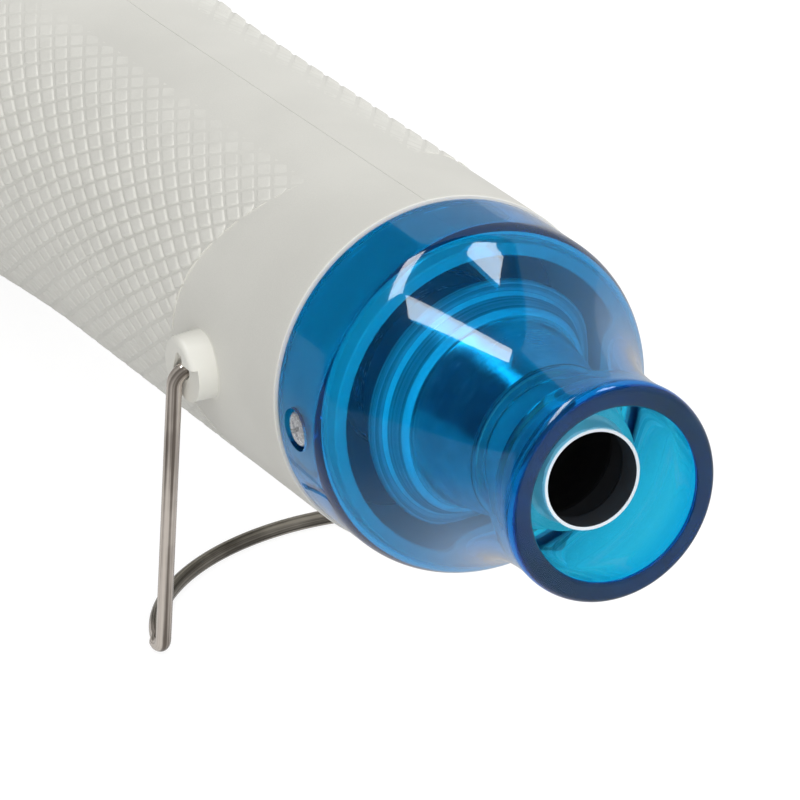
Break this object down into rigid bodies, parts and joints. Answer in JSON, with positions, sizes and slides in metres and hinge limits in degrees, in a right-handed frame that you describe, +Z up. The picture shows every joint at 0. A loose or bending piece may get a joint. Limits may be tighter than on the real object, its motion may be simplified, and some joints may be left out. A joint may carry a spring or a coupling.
{
  "type": "craft hot air tool",
  "caption": "Hand-held hot air tool with a moulded white grip, a transparent blue heat shield over a stepped steel nozzle, and a folding wire stand.",
  "frame": {"origin": "middle of the footprint, on the surface the tool stands on, with the tool resting on its wire stand and tail rim", "axes": "+X from tail to nozzle, +Y to the tool's left, +Z up; the tool's own axis rises towards the nozzle by 8.62 degrees"},
  "size_m": [0.2478, 0.0628, 0.0827],
  "materials": {
    "white_body": "matte moulded, diamond grip",
    "clear_blue": "transparent, polished",
    "zinc_screw": "zinc plated",
    "bright_steel": "drawn bright",
    "mica": "pressed sheet",
    "black_phenolic": "moulded, dull",
    "brass": "stamped",
    "heat_wire": "oxidised",
    "black_plastic": "satin",
    "rotor_copper": "laminated core with enamelled windings",
    "can_steel": "zinc plated",
    "ferrite": "sintered",
    "white_inner": "moulded",
    "circuit_board": "laminate",
    "red_plastic": "satin",
    "gland_rubber": "soft",
    "lead_cover": "braided sleeve",
    "spring_wire": "drawn wire"
  },
  "bodies": {
    "base": {"housing_left": "white_body", "housing_right": "white_body", "nozzle_shield": "clear_blue", "shield_screw_left": "zinc_screw", "shield_screw_right": "zinc_screw", "housing_screw_1": "zinc_screw", "housing_screw_2": "zinc_screw", "housing_screw_3": "zinc_screw", "housing_screw_4": "zinc_screw", "hot_air_nozzle": "bright_steel", "heater_tube": "bright_steel", "mica_sleeve": "mica", "heater_ring_front": "black_phenolic", "heater_ring_rear": "black_phenolic", "mica_board_upright": "mica", "mica_board_flat": "mica", "heater_rivet_left": "brass", "heater_rivet_right": "brass", "heater_coil": "heat_wire", "thermal_cutout": "bright_steel", "thermal_fuse": "brass", "motor_can": "can_steel", "motor_magnet_left": "ferrite", "motor_magnet_right": "ferrite", "motor_bush": "brass", "motor_end_cap": "white_inner", "motor_terminal_left": "brass", "motor_terminal_right": "brass", "motor_cradle": "white_inner", "rectifier_board": "circuit_board", "diode_1": "black_plastic", "diode_2": "black_plastic", "diode_3": "black_plastic", "diode_4": "black_plastic", "noise_capacitor": "mica", "switch_case": "black_plastic", "switch_terminal_front": "brass", "switch_terminal_rear": "brass", "cord_gland": "gland_rubber", "heater_lead_left": "lead_cover", "switch_lead_left": "lead_cover", "heater_lead_right": "lead_cover", "switch_lead_right": "lead_cover"},
    "stand": {"wire_stand": "spring_wire"},
    "fan": {"fan_impeller": "black_plastic", "motor_shaft": "bright_steel", "motor_rotor": "rotor_copper"},
    "rocker": {"switch_rocker": "red_plastic"}
  },
  "joints": [
    {"name": "stand_fold", "type": "hinge", "parent": "base", "child": "stand", "pos_m": [0.04838, 0, 0.05228], "axis": [0, 1, 0], "range_deg": [-105, 0]},
    {"name": "fan_spin", "type": "hinge", "parent": "base", "child": "fan", "pos_m": [0.01199, 0, 0.04677], "axis": [0.9887, 0, 0.1499], "continuous": true},
    {"name": "switch_rock", "type": "hinge", "parent": "base", "child": "rocker", "pos_m": [-0.091, 0, 0.05694], "axis": [0, 1, 0], "range_deg": [0, 22]}
  ]
}
